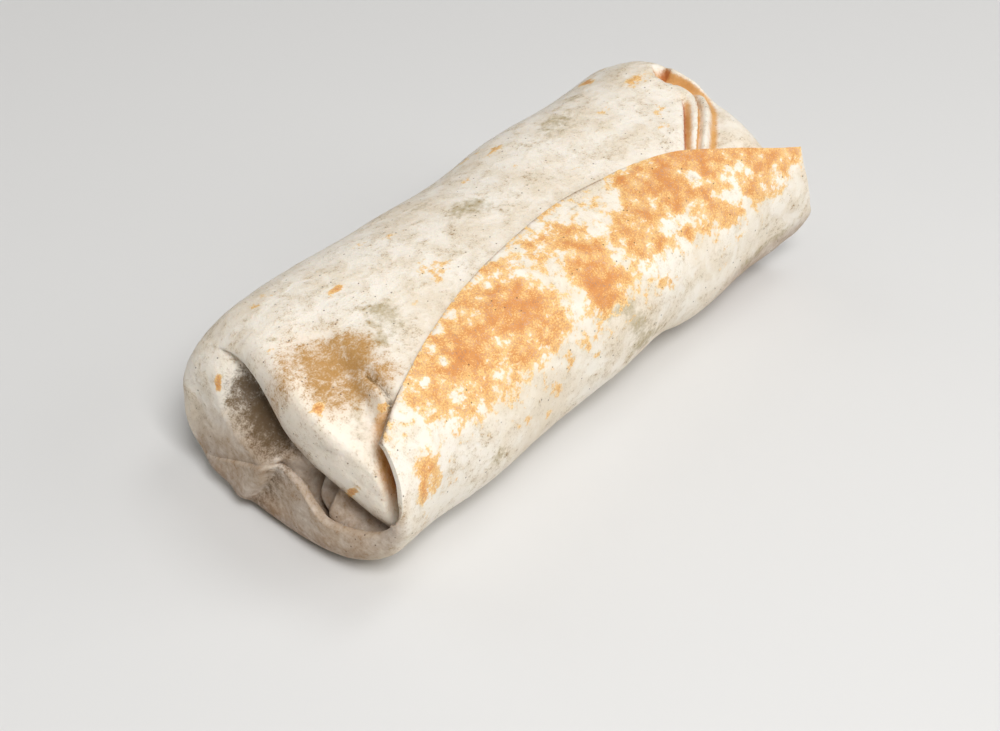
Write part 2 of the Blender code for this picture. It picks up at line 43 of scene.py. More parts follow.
rollShape = {
    "halfWidth": 38.3,
    "halfHeight": 25.3,
    "squareness": 2.5,
    "restFlattening": 0.9,
    "originShift": (1.2, 0.82, -0.9),  # from the roll's own frame to the solid's origin
    "nearMiddleX": -86.0,
    "farMiddleX": 80.0,
    "cuts": (7, 15),  # two subdivisions of the box that becomes the roll
    "nearCells": 44,  # of the rows of cells along that box
    "farCells": 28,
    "middleRows": ([0, 0.571, 1], [0, 0.8, 1]),  # share of the way between the ends, by share of the rows
    "wide": 80,  # share of the rim that lies along the top and bottom, against the sides
    "high": 54,
    # by the turn round the roll: where each end's rim lies, and how long and deep its rounding is
    "nearFace": (
        [-180, -120, -90, -30, 0, 40, 90, 135, 180],
        [-86, -87, -86, -83, -81.5, -82, -84.5, -84, -86],
    ),
    "nearEdgeLong": ([-180, -150, -30, 0, 30, 60, 90, 135, 180], [8, 6, 6, 8, 14, 22, 26, 19, 8]),
    "nearEdgeDeep": ([-180, -150, -30, 0, 30, 60, 90, 135, 180], [8, 6, 6, 8, 13, 17, 18, 14, 8]),
    "farFace": (
        [-180, -135, -90, -45, 0, 45, 75, 95, 115, 135, 180],
        [79, 77.6, 77, 77.2, 78, 79, 81.4, 83.4, 84, 82.6, 79],
    ),
    "farEdgeLong": ([-180, -90, 0, 60, 85, 120, 180], [9, 8, 8, 11, 8, 6, 9]),
    "farEdgeDeep": ([-180, -90, 0, 60, 85, 120, 180], [8, 7, 8, 8, 5, 5, 8]),
}

outerTurn = {
    "thickness": 1.5,
    "edgeRounding": 0.6,
    "roundedOver": 55,  # edges sharper than this turn are rounded
    "rimRadius": 1.3,  # the lip's edge rolls over by this and runs down inside
    "rimDepth": 7.0,
    "cells": (230, 140),
    "lipCrowding": 1.35,  # over 1 puts more rows into the lip
    "edgeCrowding": 1.12,  # and these towards the flap's free edge
    "endAngle": -158,
    "flapEdge": (
        [-82, -72, -61, -51, -33, -15, 7, 26, 46, 62, 77, 84],
        [41, 52, 60.5, 67, 74.5, 78, 80.5, 78.5, 71, 55.5, 39.5, 33],
    ),
    "lipX": (
        [-158, -149, -136, -126, -88, -60, -45, -20, -2, 8, 20, 30, 41],
        [-78, -83, -86.5, -88, -89, -89.2, -88.6, -86.7, -85.3, -84.3, -83, -82.3, -82],
    ),
    "lipRise": (
        [-158, -149, -136, -126, -109, -88, -66, -58, -54, -40, -20, -2, 8, 41],
        [2.0, 3.0, 5.0, 11.0, 16.5, 21.0, 19.3, 16.0, 12.8, 10.3, 6.0, 1.5, 0.0, 0.0],
    ),
    "lipRadius": ([-158, -136, -109, -66, -40, -20, 0, 41], [3.5, 5.0, 8.0, 8.0, 6.5, 5.0, 3.5, 2.0]),
    "farEdge": (
        [-158, -90, -60, -30, -16, -8, 0, 8, 20, 33],
        [72, 78, 80, 83.2, 85.8, 87.4, 85.2, 83.6, 82.8, 84.2],
    ),
}


def between(table, at):
    # value at each place, on a smooth curve through the table that makes no new peaks
    keys, values = (np.asarray(row, float) for row in table)
    at = np.clip(np.asarray(at, float), keys[0], keys[-1])
    step = np.diff(keys)
    slope = np.diff(values) / step
    tangent = np.concatenate([slope[:1], np.zeros(len(keys) - 2), slope[-1:]])
    same = slope[:-1] * slope[1:] > 0
    pairSum = np.where(same, slope[:-1] + slope[1:], 1.0)
    tangent[1:-1] = np.where(same, 2 * slope[:-1] * slope[1:] / pairSum, 0.0)
    low = np.clip(np.searchsorted(keys, at, side="right") - 1, 0, len(step) - 1)
    t = (at - keys[low]) / step[low]
    start = (2 * t**3 - 3 * t**2 + 1) * values[low] + (t**3 - 2 * t**2 + t) * step[low] * tangent[low]
    end = (3 * t**2 - 2 * t**3) * values[low + 1] + (t**3 - t**2) * step[low] * tangent[low + 1]
    return start + end


def ease(value, low, high):
    t = np.clip((value - low) / (high - low), 0, 1)
    return t * t * (3 - 2 * t)


def hump(value, width):
    return np.exp(-((value / width) ** 2))


def signedPower(value, power):
    return np.sign(value) * np.abs(value) ** power


def oval(angle, inset=0.0):
    # point (y, z) of the roll's cross section, and the way square to it
    cosine, sine = np.cos(np.radians(angle)), np.sin(np.radians(angle))
    power = 2 / rollShape["squareness"]
    y = -signedPower(cosine, power) * (rollShape["halfWidth"] - inset)
    z = signedPower(sine, power) * (rollShape["halfHeight"] - inset) + rollShape["halfHeight"]
    normalY = -signedPower(cosine, 2 - power) / rollShape["halfWidth"]
    normalZ = signedPower(sine, 2 - power) / rollShape["halfHeight"]
    length = np.hypot(normalY, normalZ)
    return y, z, normalY / length, normalZ / length


fineAngles = np.linspace(-180, 180, 7201)  # every twentieth of a degree
ovalY, ovalZ, _, _ = oval(fineAngles)
girthTable = np.concatenate([[0], np.cumsum(np.hypot(np.diff(ovalY), np.diff(ovalZ)))])
girthWhole = girthTable[-1]
girthTable -= np.interp(0, fineAngles, girthTable)


def girth(angle):
    # distance round the roll from 0 degrees, over the top
    return np.interp(angle, fineAngles, girthTable)


def unevenness(x, angle):
    # slow hand-rolled lumps, and a waist low on the flap's side and high behind
    turn = np.radians(angle)
    lump = 0.55 * np.sin(x / 19.0 + 1.3) * np.sin(1.5 * turn + 0.4)
    lump += 0.45 * np.sin(x / 11.5 + 2.1 * turn)
    lump += 0.35 * np.sin(x / 7.3 - 2.7 * turn + 1.0) * np.cos(1.3 * turn)
    lump *= 1 - ease(np.abs(angle), 150, 180)
    lump -= 2.2 * hump(x - 21, 11) * hump(angle + 42, 28)
    lump -= 0.9 * hump(x + 22, 14) * hump(angle - 118, 22)
    return lump


def smoothLine(guides, pieces=6):
    # a smooth curve through the guide points, in short straight pieces
    guide = np.asarray(guides, float)
    guide = np.vstack([2 * guide[0] - guide[1], guide, 2 * guide[-1] - guide[-2]])
    line = []
    for a, b, c, d in zip(guide, guide[1:], guide[2:], guide[3:]):
        for t in np.arange(pieces) / pieces:
            line.append(b + 0.5 * t * (c - a + t * (2 * a - 5 * b + 4 * c - d + t * (3 * b - a - 3 * c + d))))
    return np.array(line + [guide[-2]])


def beside(guides, across, up):
    # distance to the left of a line, share of the way along it, and the way left
    line = smoothLine(guides)
    part = np.diff(line, axis=0)
    length = np.hypot(*part.T)
    before = np.concatenate([[0], np.cumsum(length)])
    nearest = np.full(across.shape, np.inf)
    side, share = np.ones(across.shape), np.zeros(across.shape)
    left = np.zeros(across.shape + (2,))
    for start, (u, v), size, done in zip(line, part / length[:, None], length, before):
        a, b = across - start[0], up - start[1]
        along = np.clip(a * u + b * v, 0, size)
        gap = np.hypot(a - u * along, b - v * along)
        closer = gap < nearest
        nearest = np.where(closer, gap, nearest)
        side = np.where(closer, np.where(u * b - v * a >= 0, 1.0, -1.0), side)
        share = np.where(closer, (done + along) / before[-1], share)
        left[closer] = (-v, u)
    return nearest * side, share, left


def drawIn(aside, width):
    # how far a point moves towards a fold line beside it, so that the mesh is finest there
    return -aside * 0.75 * np.clip(1 - np.abs(aside) / width, 0, 1)


# The folds of the tucked end lie on a plane seen square on from outside, as (across, up) from its centre.
folds = {
    "centre": (-80.0, -2.0, 28.0),
    "outward": (-0.4958, -0.5573, 0.6661),
    "across": (0.7471, -0.6647, 0.0),
    "inward": (0.99, 0, -0.12),
    "crease": [
        (-21.5, 25.2), (-18, 23.6), (-13.6, 20.4), (-10, 15.7), (-7.2, 9.8), (-4.2, 2.2),
        (0.6, -4.9), (5.5, -10.6), (10.1, -15.2), (15.2, -20.2), (20.5, -24.6),
    ],
    "creaseDepth": ([0, 0.06, 0.13, 0.2, 0.3, 0.42, 0.55, 0.7, 1.0], [0, 0.4, 4, 11, 15.5, 13, 9.5, 7, 4.5]),
    "creaseReach": ([0, 0.12, 0.2, 0.3, 0.42, 0.55, 1.0], [6, 8, 10, 12, 11, 9, 8]),
    "creaseEdge": ([0, 0.08, 0.18, 0.3, 1.0], [0, 0.2, 1.6, 2.3, 1.6]),
    "hem": [(14.5, 14.5), (17, 11.6), (19.2, 9.3), (20.8, 6.2), (21, 3.1), (20.2, 0.6), (18.6, -1.6)],
    "underRidge": [(-8.8, 6), (-7.1, 3.4), (-3.6, -2.6), (1.5, -7.9), (5.9, -12.7)],
    "panel": [(-25, 6), (-19, 1.5), (-5, -7), (2, -10.5), (9, -16)],
    "innerLayer": [(3.5, -9), (4.6, -12.5), (4.4, -16.3), (4.5, -20), (7, -23)],
    "secondLayer": [(-0.5, -8.5), (0.7, -11), (1.5, -15.9), (3.5, -20.7), (5.5, -23.5)],
    "lipPleat": [(-1, 24), (1.5, 20), (4, 14), (8, 8), (12, 3), (14, -1)],  # this one as (y, z)
    "swellings": [  # (across, up, length, width, turn, height)
        (-25.5, -1.5, 5, 3, -40, -1.5),
        (-25, 9, 4, 8, 0, -1.8),
        (6.5, -1, 24, 6, -56, 5),
        (13.5, 10.5, 12, 4, -58, -3.5),
        (20, 12, 6, 2.6, -62, 1.6),
        (18.5, -3, 8, 3, -75, -2),
        (22, -13, 11, 3, -88, -8),
    ],
}

foldCentre = np.array(folds["centre"])
outward = np.array(folds["outward"])
acrossWay = np.array(folds["across"])
upWay = np.cross(outward, acrossWay)


def foldNearEnd(points, facing):
    # a tongue folded down over a hollow, and a rounded panel below
    strength = ease(facing, 0.02, 0.4) * ease(-points[:, 0], 30, 50)
    offset = points - foldCentre
    aside, _, left = beside(folds["crease"], offset @ acrossWay, offset @ upWay)
    shift = (drawIn(aside, 4.0) * strength)[:, None] * left
    points = points + shift[:, :1] * acrossWay + shift[:, 1:] * upWay
    offset = points - foldCentre
    across, up = offset @ acrossWay, offset @ upWay
    out = np.zeros(len(points))
    for centreA, centreU, long, wide, turn, height in folds["swellings"]:
        cosine, sine = np.cos(np.radians(turn)), np.sin(np.radians(turn))
        a, u = across - centreA, up - centreU
        out += height * hump(a * cosine + u * sine, long) * hump(u * cosine - a * sine, wide)

    # the tongue lies left of the crease, and the hollow right of it
    aside, creaseShare, _ = beside(folds["crease"], across, up)
    below = np.clip(-aside, 0, None)
    creaseTables = ("creaseDepth", "creaseReach", "creaseEdge")
    depth, reach, edge = (between(folds[name], creaseShare) for name in creaseTables)
    inside = np.where(aside < 0, depth * ease(below, 0, 1.2) * (1 - ease(below, 1.2, reach)), 0)
    out += 1.2 * edge * hump(aside - 5.0, 4.5)
    turned = np.clip(1 - np.clip(aside, 0, None) / 3.2, 0, 1)
    out -= edge * (1 - np.sqrt(1 - np.minimum(turned, 0.999) ** 2)) * (aside > -1.2)

    # a small fold beside the flap's near corner ends in a scalloped edge, with a groove beyond it
    asideHem, hemShare, _ = beside(folds["hem"], across, up)
    shown = ease(hemShare, 0.0, 0.25) * (1 - ease(hemShare, 0.8, 1.0))
    hemShadow = shown * hump(asideHem - 0.5, 0.8)
    hemEdge = 1.9 * hump(asideHem + 1.9, 2.4) * ease(-asideHem, 0, 0.7)
    hemGroove = -1.8 * ease(asideHem, 0, 0.5) * hump(asideHem, 3.0)
    out += shown * np.where(asideHem < 0, hemEdge, hemGroove)

    asideRidge, share, _ = beside(folds["underRidge"], across, up)
    ridge = 1.4 * hump(asideRidge, 1.3) * ease(share, 0, 0.25) * (1 - ease(share, 0.8, 1))
    out += ridge * ease(-aside, 0.6, 1.4)

    asidePanel, share, _ = beside(folds["panel"], across, up)
    roundness = between(([0, 0.2, 0.6, 0.9, 1.0], [0, 2.0, 3.6, 2.4, 0]), share)
    out += ease(-aside, 0, 2) * roundness * hump(asidePanel, between(([0, 1], [5.5, 3]), share))

    # two inner layers end under the tongue's tip, each with a rounded edge over a gap
    for line, drop, rise, wide in ((folds["secondLayer"], 4.0, 0.3, 1.4), (folds["innerLayer"], 2.5, 1.6, 2.2)):
        asideLayer, share, _ = beside(line, across, up)
        shown = ease(-aside, 0.3, 2.0) * ease(share, 0, 0.2)
        out += shown * rise * hump(asideLayer - 1.5, 2.2) * (asideLayer > 0)
        beyond = np.clip(-asideLayer - 0.6, 0, None)
        inside += shown * drop * ease(-asideLayer, -0.2, 0.8) * hump(beyond, wide)

    moved = points + (out * strength)[:, None] * outward
    moved = moved + (inside * strength)[:, None] * np.array(folds["inward"])
    # how much painted shade and stain lie in the hollow, and painted shadow under the tongue's edge and beside
    # the hem
    dark = ease(-aside, 0.4, 2.2) * (1 - ease(-aside, reach * 0.6, reach * 1.05))
    dark *= ease(creaseShare, 0.1, 0.24) * (1 - ease(creaseShare, 0.46, 0.6))
    dark += 0.7 * hump(aside + 1.6, 1.3) * ease(creaseShare, 0.4, 0.5) + 0.75 * hemShadow
    # the tongue's face, which gets painted light
    tongue = ease(aside, -0.4, 1.5) * (1 - ease(aside, 12, 22)) * ease(creaseShare, 0.12, 0.3)
    return moved, np.clip(dark, 0, 1) * strength, tongue * strength


def tuckedBack(points):
    # how far along X the lower near end moves: in beyond the lip's pleat, out before it
    x, y, z = np.moveaxis(points, -1, 0)
    aside, _, _ = beside(folds["lipPleat"], y, z)
    beyond = ease(-aside, -0.5, 1.0) * hump(np.clip(-aside, 0, None), 11) * ease(-x, 72, 84)
    before = hump(aside - 2.2, 2.2) * ease(-x, 80, 86)
    return ((0.5 + 1.7 * ease(z, 4, 11)) * beyond - 0.9 * before) * (1 - ease(z, 20, 26))


# The folds on top of the far end lie on the plan, as (x, y).
farFolds = {
    "layerEnd": [
        (80.5, 16.5), (77.8, 12.6), (75.6, 9.2), (75.4, 5.4), (76.6, 1.8), (76.2, -2.6),
        (72.8, -6.9), (68.2, -10.4), (63.2, -13.9), (56.4, -18.4), (47, -25),
    ],
    # heights beyond that line, by the distance from it
    "recess": ([0, 0.5, 1, 3, 4.3, 5.4, 7, 10], [-0.8, -2.6, -3.2, -3, -0.4, 0.9, 0.8, 0]),
    "band": (
        [0, 0.5, 1, 1.8, 2.6, 3.3, 4.4, 5.8, 7.6, 12],
        [-0.9, -3.4, -2.6, -0.7, -0.5, -1.5, -2.6, -2.2, -1.3, 0],
    ),
    "slit": [(72.6, -0.4), (71.2, -2.9), (67.4, -6.3), (62.6, -9.9), (57, -14.2), (51, -19)],
    "slitProfile": ([-2, -0.9, -0.25, 0.25, 0.9, 2, 3.2, 4], [0, -0.3, -0.9, -3, -2.3, -1, -0.3, 0]),
    "slitDepth": ([0, 0.12, 0.3, 1], [0, 0.7, 1, 0.95]),
    "humpHeight": 2.2,
    "tucks": [  # layer edges across the far end's face, as (y, z)
        [(-34, 33), (-20, 31), (-6, 25.5), (6, 17), (15, 8), (20, 1.5)],
        [(36, 34), (25, 30.5), (14, 23.5), (6, 17)],
    ],
}


def foldFarEnd(points):
    # the top layer ends in a rounded fold: a recess lies beyond it at first, and further on a rolled band
    onTop = ease(points[:, 2], 34, 42)
    points = points.copy()
    for name, width in (("layerEnd", 1.9), ("slit", 1.6)):
        aside, share, left = beside(farFolds[name], points[:, 0], points[:, 1])
        points[:, :2] += (drawIn(aside - 0.2, width) * onTop * ease(share, 0, 0.02))[:, None] * left
    x, y = points[:, 0].copy(), points[:, 1]
    tucked = np.zeros(len(points))
    aside, share, _ = beside(farFolds["layerEnd"], x, y)
    beyond = np.clip(aside, 0, None)
    banded = ease(share, 0.3, 0.4)
    shown = ease(share, 0.04, 0.13) * ease(points[:, 2], 30, 42)
    height = between(farFolds["recess"], beyond) * (1 - banded) + between(farFolds["band"], beyond) * banded
    height = np.where(aside > 0, height, -0.8 * (1 - np.sqrt(1 - np.clip(1 + aside / 1.5, 0, 1) ** 2)))
    asideSlit, slitShare, _ = beside(farFolds["slit"], x, y)
    slit = between(farFolds["slitDepth"], slitShare) * between(farFolds["slitProfile"], asideSlit)
    height += slit * (aside < 0)
    inSlit = ease(slitShare, 0.02, 0.15) * (aside < 0)
    onRecess, onBand = 1 - ease(beyond, 4, 5.2), 0.9 * hump(beyond - 4.6, 1.3) + hump(beyond - 0.2, 0.7)
    orange = np.where(aside > 0, (1 - banded) * onRecess + banded * onBand, 0)
    # painted warm shade on the finger's side of the slit
    orange += 0.95 * hump(asideSlit - 1.1, 1.3) * ease(asideSlit, -0.5, 0.1) * inSlit
    # a dark brown spot on the recess's floor
    shade = 1.1 * (1 - banded) * hump(share - 0.1, 0.07) * hump(beyond - 3.2, 1.8) * (aside > 0)
    # painted shade down the slit
    shade += 0.85 * hump(asideSlit - 0.2, 0.55) * inSlit
    onFace = ease(x, 71, 78) * (1 - ease(points[:, 2], 35, 41))
    for line in farFolds["tucks"]:
        asideTuck, tuckShare, _ = beside(line, y, points[:, 2])
        seen = onFace * ease(tuckShare, 0, 0.1) * (1 - ease(tuckShare, 0.9, 1))
        layer = 1.2 * ease(asideTuck, -0.3, 0.6) * (1 - ease(asideTuck, 0, 16))
        points[:, 0] += seen * (layer - 1.1 * hump(asideTuck + 0.9, 1.2))
        # painted shade along each tuck's crease
        tucked += 0.6 * seen * hump(asideTuck + 0.5, 0.7)
    points[:, 2] += height * shown + farFolds["humpHeight"] * hump(x - 79, 14) * hump(y - 14, 12) * onTop
    return points, np.clip(orange, 0, 1) * shown, np.clip(shade, 0, 1) * shown + tucked


def verticesOf(piece):
    places = np.empty(len(piece.data.vertices) * 3)
    piece.data.vertices.foreach_get("co", places)
    return places.reshape(-1, 3)


def placeVertices(piece, points):
    # millimetres in the roll's frame to metres about the solid's origin
    places = (points + np.array(rollShape["originShift"])) * mm
    piece.data.vertices.foreach_set("co", places.ravel())
    piece.data.update()


def normalsOf(piece, points):
    corners = np.empty(len(piece.data.loops), int)
    piece.data.loops.foreach_get("vertex_index", corners)
    quads = corners.reshape(-1, 4)
    square = np.cross(points[quads[:, 2]] - points[quads[:, 0]], points[quads[:, 3]] - points[quads[:, 1]])
    total = np.zeros_like(points)
    for corner in range(4):
        np.add.at(total, quads[:, corner], square)
    return total / np.linalg.norm(total, axis=1, keepdims=True)


def waviness(points, size, seed):
    # smooth noise at each point, about -1 to 1
    away = Vector((seed, 2 * seed, -seed))
    return np.array([noise.noise(Vector(point) / size + away) for point in points.tolist()])


skinWaves = [(11.0, 3.1, 0.22), (4.5, 7.7, 0.12), (1.9, 1.3, 0.05)]  # size, seed, height


def wavySkin(piece, points):
    # fine waves that fade out where the roll rests
    wave = sum(height * waviness(points, size, seed) for size, seed, height in skinWaves)
    points = points + normalsOf(piece, points) * (wave * ease(points[:, 2], 2, 6))[:, None]
    points[:, 2] = np.maximum(points[:, 2], rollShape["restFlattening"])
    return points


def addMark(piece, name, values):
    layer = piece.data.attributes.new(name, "FLOAT", "POINT")
    layer.data.foreach_set("value", np.asarray(values, np.float32))


def blobs(spots, across, up):
    # soft-edged ovals (across, up, half length, half width, turn, strength): half strength at the oval's edge
    clear = np.ones(across.shape)
    for centreA, centreU, long, wide, turn, strength in spots:
        cosine, sine = np.cos(np.radians(turn)), np.sin(np.radians(turn))
        a, u = across - centreA, up - centreU
        far = ((a * cosine + u * sine) / long) ** 2 + ((u * cosine - a * sine) / wide) ** 2
        clear *= 1 - strength / (1 + far**2)
    return 1 - clear


def newPiece():
    piece = bpy.context.object
    for other in bpy.context.selected_objects:
        other.select_set(other == piece)
    return piece


# The filled roll starts as a finely divided box: its two end faces become the tucked end and the far end.
bpy.ops.object.select_all(action="DESELECT")
bpy.ops.mesh.primitive_cube_add(size=2)
filledRoll = newPiece()
filledRoll.name = filledRoll.data.name = "filledRoll"
bpy.ops.object.mode_set(mode="EDIT")
for cuts in rollShape["cuts"]:
    bpy.ops.mesh.subdivide(number_cuts=cuts)
bpy.ops.object.mode_set(mode="OBJECT")
rollRows = int(np.prod([cuts + 1 for cuts in rollShape["cuts"]]))
endTables = ("Face", "EdgeLong", "EdgeDeep")


def boxToRoll(corners):
    # wraps the box's sides round the oval, rounds its long ends and lays its end faces over them
    u, v, w = corners.T
    reach = np.maximum(np.maximum(np.abs(v), np.abs(w)), 1e-9)
    across, up = v / reach, w / reach
    wide, high = rollShape["wide"], rollShape["high"]
    rim = 2 * (wide + high)
    place = 2 * wide + high + (1 - up) / 2 * high
    place = np.where(up >= 1 - 1e-6, wide + high + (1 - across) / 2 * wide, place)
    place = np.where(across >= 1 - 1e-6, wide + (up + 1) / 2 * high, place)
    place = np.where(up <= -1 + 1e-6, (across + 1) / 2 * wide, place)
    low = girthTable[0]
    start = float(girth(-90)) - low + wide / 2 * girthWhole / rim
    angle = np.interp((start - place * girthWhole / rim) % girthWhole + low, girthTable, fineAngles)

    near, nearLong, nearDeep = (between(rollShape["near" + name], angle) for name in endTables)
    far, farLong, farDeep = (between(rollShape["far" + name], angle) for name in endTables)
    row = (u + 1) / 2 * rollRows
    nearCells, farCells = rollShape["nearCells"], rollShape["farCells"]
    nearTurn = np.radians(90 * np.clip(1 - row / nearCells, 0, 1))
    farTurn = np.radians(90 * np.clip(1 - (rollRows - row) / farCells, 0, 1))
    middle = np.clip((row - nearCells) / (rollRows - nearCells - farCells), 0, 1)
    middle = between(rollShape["middleRows"], middle)
    x = near + nearLong + (far - farLong - near - nearLong) * middle
    x = np.where(nearTurn > 0, near + nearLong * (1 - np.sin(nearTurn)), x)
    x = np.where(farTurn > 0, far - farLong * (1 - np.sin(farTurn)), x)
    inset = np.where(nearTurn > 0, nearDeep * (1 - np.cos(nearTurn)), farDeep * (1 - np.cos(farTurn)))
    y, z, _, _ = oval(angle, inset)

    onEnd = reach < 1 - 1e-6
    share = reach * reach * (3 - 2 * reach)
    faceMiddle = np.where(u < 0, rollShape["nearMiddleX"], rollShape["farMiddleX"])
    x = np.where(onEnd, np.where(u < 0, near, far) * share + faceMiddle * (1 - share), x)
    y = np.where(onEnd, y * reach, y)
    z = np.where(onEnd, rollShape["halfHeight"] + (z - rollShape["halfHeight"]) * reach, z)
    return np.stack([x, y, z], axis=1), angle


def flapAngle(x):
    return between(outerTurn["flapEdge"], x)


def shapeRoll(piece):
    points, angle = boxToRoll(verticesOf(piece))
    near, nearLong = between(rollShape["nearFace"], angle), between(rollShape["nearEdgeLong"], angle)
    far, farLong = between(rollShape["farFace"], angle), between(rollShape["farEdgeLong"], angle)
    x = points[:, 0]
    onSide = ease(x, near + 0.1 * nearLong, near + nearLong) * (1 - ease(x, far - farLong, far - 0.1 * farLong))
    # the roll gives way by the sheet's thickness where the outer turn lies on it
    rebate = ease(flapAngle(x) - angle, 1, 45) * (1 - ease(-angle, 115, 150))
    _, _, normalY, normalZ = oval(angle)
    grow = (unevenness(x, angle) - outerTurn["thickness"] * rebate) * onSide
    points[:, 1] += normalY * grow
    points[:, 2] += normalZ * grow
    facing = normalsOf(piece, points) @ outward
    points, dark, tongue = foldNearEnd(points, facing)
    points, orange, shade = foldFarEnd(points)
    points[:, 0] += tuckedBack(points)
    return wavySkin(piece, points), angle, facing, dark, tongue, orange, shade


rollPoints, rollAngle, rollFacing, rollPaintedShadeAndStain, rollTongue, rollOrangeAndPaintedShade, rollShade = shapeRoll(filledRoll)
placeVertices(filledRoll, rollPoints)
print("roll shaped")

# The outer turn of the tortilla is one sheet from the flap's free edge, down the front and under the roll.
bpy.ops.object.select_all(action="DESELECT")
longCells, roundCells = outerTurn["cells"]
bpy.ops.mesh.primitive_grid_add(x_subdivisions=longCells, y_subdivisions=roundCells, size=2)
wrap = newPiece()
wrap.name = wrap.data.name = "outerTurn"


def shapeOuterTurn(piece):
    places = verticesOf(piece)
    longShare = (places[:, 0] + 1) / 2
    roundShare = ((1 - places[:, 1]) / 2) ** outerTurn["edgeCrowding"]
    edgeAt, endAngle = outerTurn["flapEdge"], outerTurn["endAngle"]
    nearAngle = edgeAt[1][0] + (endAngle - edgeAt[1][0]) * roundShare
    farAngle = edgeAt[1][-1] + (endAngle - edgeAt[1][-1]) * roundShare
    # beyond the corner the sheet bends up round the lip, rises, rolls over at its rim and goes down inside
    lipX, rise, radius = (between(outerTurn[name], nearAngle) for name in ("lipX", "lipRise", "lipRadius"))
    rim = outerTurn["rimRadius"]
    rolls = ease(rise, 0.5, 3.5)
    turn = np.arccos(np.clip(1 - rise / radius, 0, 1))
    start = lipX + radius * np.sin(turn)
    upright = np.clip(rise - radius, 0, None)
    rollTurn = rolls * np.pi * 0.96
    inside = rolls * np.minimum(outerTurn["rimDepth"], 0.75 * rise)
    nearEdge = start - radius * turn - upright - rim * rollTurn - inside
    farX = between(outerTurn["farEdge"], farAngle)
    flatX = nearEdge + (farX - nearEdge) * longShare**outerTurn["lipCrowding"]
    path = np.clip(start - flatX, 0, None)
    bent = np.minimum(path / radius, turn)
    along = np.clip(path - radius * turn, 0, upright)
    over = np.minimum(np.clip(path - radius * turn - upright, 0, None) / rim, rollTurn)
    down = np.clip(path - radius * turn - upright - rim * rollTurn, 0, None)
    last = turn + rollTurn
    x = np.where(path > 0, start - radius * np.sin(bent), flatX)
    x -= rim * (np.sin(turn + over) - np.sin(turn)) * (over > 0) + np.cos(last) * down
    inset = radius * (1 - np.cos(bent)) + along
    inset += rim * (np.cos(turn) - np.cos(turn + over)) * (over > 0) + np.sin(last) * down
    curl = path / radius
    edgeAngle = flapAngle(flatX)
    angle = edgeAngle + (endAngle - edgeAngle) * roundShare

    lift = 0.15 + outerTurn["thickness"] * np.clip(1 - (edgeAngle - angle) / 60, 0, 1) ** 1.5
    sink = 2.4 * ease(-angle, 118, 152) * ease(x, -80, -66)
    lumps = unevenness(x, angle) * ease(x, -84, -60) * (1 - ease(x, 66, 80))
    bulge = (1.2 * hump(angle - 2, 22) + 1.5 * hump(angle + 150, 14)) * ease(-x, 66, 80)
    y, z, normalY, normalZ = oval(angle, inset)
    grow = lift - sink + lumps + bulge
    points = np.stack([x, y + normalY * grow, z + normalZ * grow], axis=-1)
    points[:, 0] += tuckedBack(points)
    return wavySkin(piece, points), angle, curl, flatX


wrapPoints, wrapAngle, wrapCurl, wrapFlatX = shapeOuterTurn(wrap)
placeVertices(wrap, wrapPoints)
print("outer turn shaped")


def finishWrap(piece):
    # gives the sheet its thickness and a rounded edge
    wall = piece.modifiers.new("wall", "SOLIDIFY")
    wall.thickness = outerTurn["thickness"] * mm
    wall.offset = -1
    rounding = piece.modifiers.new("rounding", "BEVEL")
    rounding.limit_method = "ANGLE"
    rounding.angle_limit = np.radians(outerTurn["roundedOver"])
    rounding.width = outerTurn["edgeRounding"] * mm
    rounding.segments = 3
    for modifier in ("wall", "rounding"):
        bpy.ops.object.modifier_apply(modifier=modifier)
